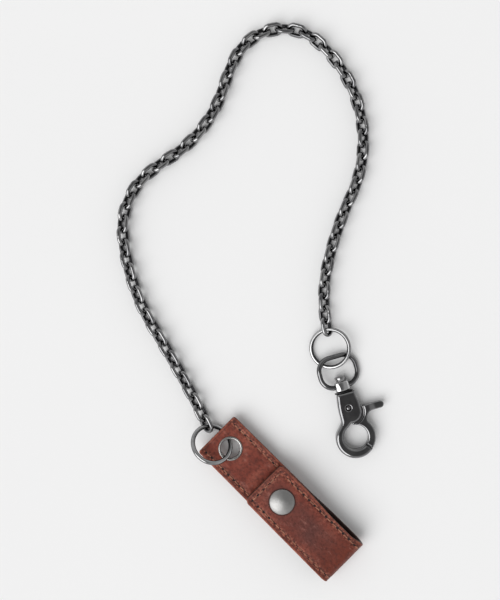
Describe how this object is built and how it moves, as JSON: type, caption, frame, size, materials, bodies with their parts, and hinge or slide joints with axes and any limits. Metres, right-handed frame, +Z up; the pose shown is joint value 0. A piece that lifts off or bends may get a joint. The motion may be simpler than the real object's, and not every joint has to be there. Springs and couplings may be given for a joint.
{
  "type": "wallet chain",
  "caption": "Wallet chain: gunmetal cable chain with a snap-closed brown leather belt loop at one end and a swivelling trigger snap hook at the other.",
  "frame": {"origin": "centre of the object's box, on the surface it lies on", "axes": "+X along the strap from its grommet to its fold, +Y to the left, towards the chain, +Z up"},
  "size_m": [0.221, 0.1917, 0.014],
  "materials": {
    "leather_brown": "waxed, with burnished edges",
    "sewing_thread": "waxed thread",
    "antique_nickel": "antique nickel plate, polished on its high parts",
    "gunmetal": "polished black nickel plate",
    "plain_steel": "plain"
  },
  "bodies": {
    "back": {"back_outer": "leather_brown", "back_inner": "leather_brown", "back_stitching": "sewing_thread", "snap_stud": "antique_nickel", "snap_post": "antique_nickel", "grommet": "antique_nickel", "grommet_washer": "antique_nickel"},
    "flap": {"flap_outer": "leather_brown", "flap_inner": "leather_brown", "flap_stitching": "sewing_thread", "snap_cap": "antique_nickel", "snap_socket": "antique_nickel"},
    "strap_ring": {"strap_ring": "gunmetal"},
    "first_link": {"first_link": "gunmetal"},
    "link_pair_01": {"link_pair_01": "gunmetal"},
    "link_pair_02": {"link_pair_02": "gunmetal"},
    "link_pair_03": {"link_pair_03": "gunmetal"},
    "link_pair_04": {"link_pair_04": "gunmetal"},
    "link_pair_05": {"link_pair_05": "gunmetal"},
    "link_pair_06": {"link_pair_06": "gunmetal"},
    "link_pair_07": {"link_pair_07": "gunmetal"},
    "link_pair_08": {"link_pair_08": "gunmetal"},
    "link_pair_09": {"link_pair_09": "gunmetal"},
    "link_pair_10": {"link_pair_10": "gunmetal"},
    "link_pair_11": {"link_pair_11": "gunmetal"},
    "link_pair_12": {"link_pair_12": "gunmetal"},
    "link_pair_13": {"link_pair_13": "gunmetal"},
    "link_pair_14": {"link_pair_14": "gunmetal"},
    "link_pair_15": {"link_pair_15": "gunmetal"},
    "link_pair_16": {"link_pair_16": "gunmetal"},
    "link_pair_17": {"link_pair_17": "gunmetal"},
    "link_pair_18": {"link_pair_18": "gunmetal"},
    "link_pair_19": {"link_pair_19": "gunmetal"},
    "link_pair_20": {"link_pair_20": "gunmetal"},
    "link_pair_21": {"link_pair_21": "gunmetal"},
    "link_pair_22": {"link_pair_22": "gunmetal"},
    "link_pair_23": {"link_pair_23": "gunmetal"},
    "link_pair_24": {"link_pair_24": "gunmetal"},
    "link_pair_25": {"link_pair_25": "gunmetal"},
    "link_pair_26": {"link_pair_26": "gunmetal"},
    "link_pair_27": {"link_pair_27": "gunmetal"},
    "link_pair_28": {"link_pair_28": "gunmetal"},
    "link_pair_29": {"link_pair_29": "gunmetal"},
    "link_pair_30": {"link_pair_30": "gunmetal"},
    "link_pair_31": {"link_pair_31": "gunmetal"},
    "link_pair_32": {"link_pair_32": "gunmetal"},
    "link_pair_33": {"link_pair_33": "gunmetal"},
    "link_pair_34": {"link_pair_34": "gunmetal"},
    "clip_ring": {"clip_ring": "gunmetal"},
    "swivel_eye": {"swivel_eye": "gunmetal"},
    "hook": {"hook_body": "gunmetal", "swivel_post": "gunmetal", "swivel_washer": "gunmetal", "trigger_pin": "plain_steel", "trigger_spring": "plain_steel"},
    "trigger": {"trigger": "gunmetal"}
  },
  "joints": [
    {"name": "flap_open", "type": "hinge", "parent": "back", "child": "flap", "pos_m": [0.10514, -0.08209, 0.0112], "axis": [0, 1, 0], "range_deg": [0, 110]},
    {"name": "gate_pull", "type": "hinge", "parent": "hook", "child": "trigger", "pos_m": [0.0578, -0.02645, 0.00291], "axis": [0, 0, 1], "range_deg": [0, 20], "stiffness_Nm_per_rad": 0.03, "springref_deg": -34.38},
    {"name": "hook_swivel", "type": "hinge", "parent": "swivel_eye", "child": "hook", "pos_m": [0.05104, -0.02255, 0.00291], "axis": [0.866, -0.5, 0], "continuous": true},
    {"name": "eye_swing", "type": "hinge", "parent": "clip_ring", "child": "swivel_eye", "pos_m": [0.03494, -0.01325, 0.00291], "axis": [0, 0, 1], "range_deg": [-15, 4]},
    {"name": "ring_flip", "type": "hinge", "parent": "link_pair_34", "child": "clip_ring", "pos_m": [0.02277, -0.0061, 0.00291], "axis": [-0.5839, -0.7891, -0.1908], "range_deg": [-30, 30]},
    {"name": "ring_swing", "type": "hinge", "parent": "back", "child": "strap_ring", "pos_m": [0.03024, -0.08209, 0.0044], "axis": [0, 0, 1], "range_deg": [-20, 15]},
    {"name": "start_link_lift", "type": "hinge", "parent": "strap_ring", "child": "first_link", "pos_m": [0.01451, -0.08272, 0.00291], "axis": [0.6044, 0.694, -0.3912], "range_deg": [-25, 25]},
    {"name": "link_bend_01", "type": "hinge", "parent": "first_link", "child": "link_pair_01", "pos_m": [0.01027, -0.08122, 0.00291], "axis": [0, 0, 1], "range_deg": [-17.5, 25]},
    {"name": "link_lift_02", "type": "hinge", "parent": "link_pair_01", "child": "link_pair_02", "pos_m": [-0.00133, -0.07742, 0.00291], "axis": [-0.2965, -0.955, 0], "range_deg": [-25, 25]},
    {"name": "link_bend_03", "type": "hinge", "parent": "link_pair_02", "child": "link_pair_03", "pos_m": [-0.01303, -0.07399, 0.00291], "axis": [0, 0, -1], "range_deg": [-25, 15]},
    {"name": "link_lift_04", "type": "hinge", "parent": "link_pair_03", "child": "link_pair_04", "pos_m": [-0.0248, -0.07077, 0.00291], "axis": [0.2571, 0.9664, 0], "range_deg": [-25, 25]},
    {"name": "link_bend_05", "type": "hinge", "parent": "link_pair_04", "child": "link_pair_05", "pos_m": [-0.03661, -0.06771, 0.00291], "axis": [0, 0, 1], "range_deg": [-12.5, 25]},
    {"name": "link_lift_06", "type": "hinge", "parent": "link_pair_05", "child": "link_pair_06", "pos_m": [-0.04836, -0.06445, 0.00291], "axis": [-0.3206, -0.9472, 0], "range_deg": [-25, 25]},
    {"name": "link_bend_07", "type": "hinge", "parent": "link_pair_06", "child": "link_pair_07", "pos_m": [-0.05968, -0.05991, 0.00291], "axis": [0, 0, -1], "range_deg": [-25, 10]},
    {"name": "link_lift_08", "type": "hinge", "parent": "link_pair_07", "child": "link_pair_08", "pos_m": [-0.07042, -0.05412, 0.00291], "axis": [0.5225, 0.8526, 0], "range_deg": [-25, 25]},
    {"name": "link_bend_09", "type": "hinge", "parent": "link_pair_08", "child": "link_pair_09", "pos_m": [-0.08044, -0.04718, 0.00291], "axis": [0, 0, 1], "range_deg": [-7.5, 25]},
    {"name": "link_lift_10", "type": "hinge", "parent": "link_pair_09", "child": "link_pair_10", "pos_m": [-0.08915, -0.0387, 0.00291], "axis": [-0.8064, -0.5913, 0], "range_deg": [-20, 20]},
    {"name": "link_bend_11", "type": "hinge", "parent": "link_pair_10", "child": "link_pair_11", "pos_m": [-0.09462, -0.02784, 0.00291], "axis": [0, 0, -1], "range_deg": [-25, 7.5]},
    {"name": "link_lift_12", "type": "hinge", "parent": "link_pair_11", "child": "link_pair_12", "pos_m": [-0.09626, -0.01579, 0.00291], "axis": [0.9995, -0.0305, 0], "range_deg": [-20, 20]},
    {"name": "link_bend_13", "type": "hinge", "parent": "link_pair_12", "child": "link_pair_13", "pos_m": [-0.09457, -0.00372, 0.00291], "axis": [0, 0, 1], "range_deg": [-7.5, 25]},
    {"name": "link_lift_14", "type": "hinge", "parent": "link_pair_13", "child": "link_pair_14", "pos_m": [-0.0925, 0.00829, 0.00291], "axis": [-0.9973, 0.0741, 0], "range_deg": [-25, 25]},
    {"name": "link_bend_15", "type": "hinge", "parent": "link_pair_14", "child": "link_pair_15", "pos_m": [-0.09277, 0.02048, 0.00291], "axis": [0, 0, -1], "range_deg": [-25, 7.5]},
    {"name": "link_lift_16", "type": "hinge", "parent": "link_pair_15", "child": "link_pair_16", "pos_m": [-0.09535, 0.03239, 0.00291], "axis": [0.9524, 0.3049, 0], "range_deg": [-25, 25]},
    {"name": "link_bend_17", "type": "hinge", "parent": "link_pair_16", "child": "link_pair_17", "pos_m": [-0.10017, 0.04358, 0.00291], "axis": [0, 0, 1], "range_deg": [-7.5, 25]},
    {"name": "link_lift_18", "type": "hinge", "parent": "link_pair_17", "child": "link_pair_18", "pos_m": [-0.10512, 0.05472, 0.00291], "axis": [-0.9397, -0.342, 0], "range_deg": [-25, 25]},
    {"name": "link_bend_19", "type": "hinge", "parent": "link_pair_18", "child": "link_pair_19", "pos_m": [-0.10754, 0.0666, 0.00291], "axis": [0, 0, -1], "range_deg": [-25, 7.5]},
    {"name": "link_lift_20", "type": "hinge", "parent": "link_pair_19", "child": "link_pair_20", "pos_m": [-0.10451, 0.07833, 0.00291], "axis": [0.887, -0.4617, 0], "range_deg": [-17.5, 17.5]},
    {"name": "link_bend_21", "type": "hinge", "parent": "link_pair_20", "child": "link_pair_21", "pos_m": [-0.09663, 0.08755, 0.00291], "axis": [0, 0, 1], "range_deg": [-7.5, 25]},
    {"name": "link_lift_22", "type": "hinge", "parent": "link_pair_21", "child": "link_pair_22", "pos_m": [-0.08552, 0.09238, 0.00291], "axis": [-0.1822, 0.9833, 0], "range_deg": [-17.5, 17.5]},
    {"name": "link_bend_23", "type": "hinge", "parent": "link_pair_22", "child": "link_pair_23", "pos_m": [-0.07333, 0.09267, 0.00291], "axis": [0, 0, -1], "range_deg": [-25, 10]},
    {"name": "link_lift_24", "type": "hinge", "parent": "link_pair_23", "child": "link_pair_24", "pos_m": [-0.06131, 0.09071, 0.00291], "axis": [-0.2512, -0.9679, 0], "range_deg": [-25, 25]},
    {"name": "link_bend_25", "type": "hinge", "parent": "link_pair_24", "child": "link_pair_25", "pos_m": [-0.04984, 0.08657, 0.00291], "axis": [0, 0, 1], "range_deg": [-12.5, 25]},
    {"name": "link_lift_26", "type": "hinge", "parent": "link_pair_25", "child": "link_pair_26", "pos_m": [-0.03934, 0.0804, 0.00291], "axis": [0.5842, 0.8116, 0], "range_deg": [-25, 25]},
    {"name": "link_bend_27", "type": "hinge", "parent": "link_pair_26", "child": "link_pair_27", "pos_m": [-0.03015, 0.0724, 0.00291], "axis": [0, 0, -1], "range_deg": [-25, 15]},
    {"name": "link_lift_28", "type": "hinge", "parent": "link_pair_27", "child": "link_pair_28", "pos_m": [-0.02258, 0.06284, 0.00291], "axis": [-0.8382, -0.5454, 0], "range_deg": [-25, 25]},
    {"name": "link_bend_29", "type": "hinge", "parent": "link_pair_28", "child": "link_pair_29", "pos_m": [-0.01691, 0.05205, 0.00291], "axis": [0, 0, 1], "range_deg": [-20, 25]},
    {"name": "link_lift_30", "type": "hinge", "parent": "link_pair_29", "child": "link_pair_30", "pos_m": [-0.01256, 0.04066, 0.00291], "axis": [0.9198, 0.3923, 0], "range_deg": [-25, 25]},
    {"name": "link_bend_31", "type": "hinge", "parent": "link_pair_30", "child": "link_pair_31", "pos_m": [-0.00735, 0.02963, 0.00291], "axis": [0, 0, -1], "range_deg": [-25, 20]},
    {"name": "link_lift_32", "type": "hinge", "parent": "link_pair_31", "child": "link_pair_32", "pos_m": [-0.0013, 0.01903, 0.00291], "axis": [-0.849, -0.5284, 0], "range_deg": [-25, 25]},
    {"name": "link_bend_33", "type": "hinge", "parent": "link_pair_32", "child": "link_pair_33", "pos_m": [0.00573, 0.00908, 0.00291], "axis": [0, 0, 1], "range_deg": [-25, 25]},
    {"name": "link_lift_34", "type": "hinge", "parent": "link_pair_33", "child": "link_pair_34", "pos_m": [0.01424, 0.00035, 0.00291], "axis": [0.6593, 0.7518, 0], "range_deg": [-25, 25]}
  ]
}
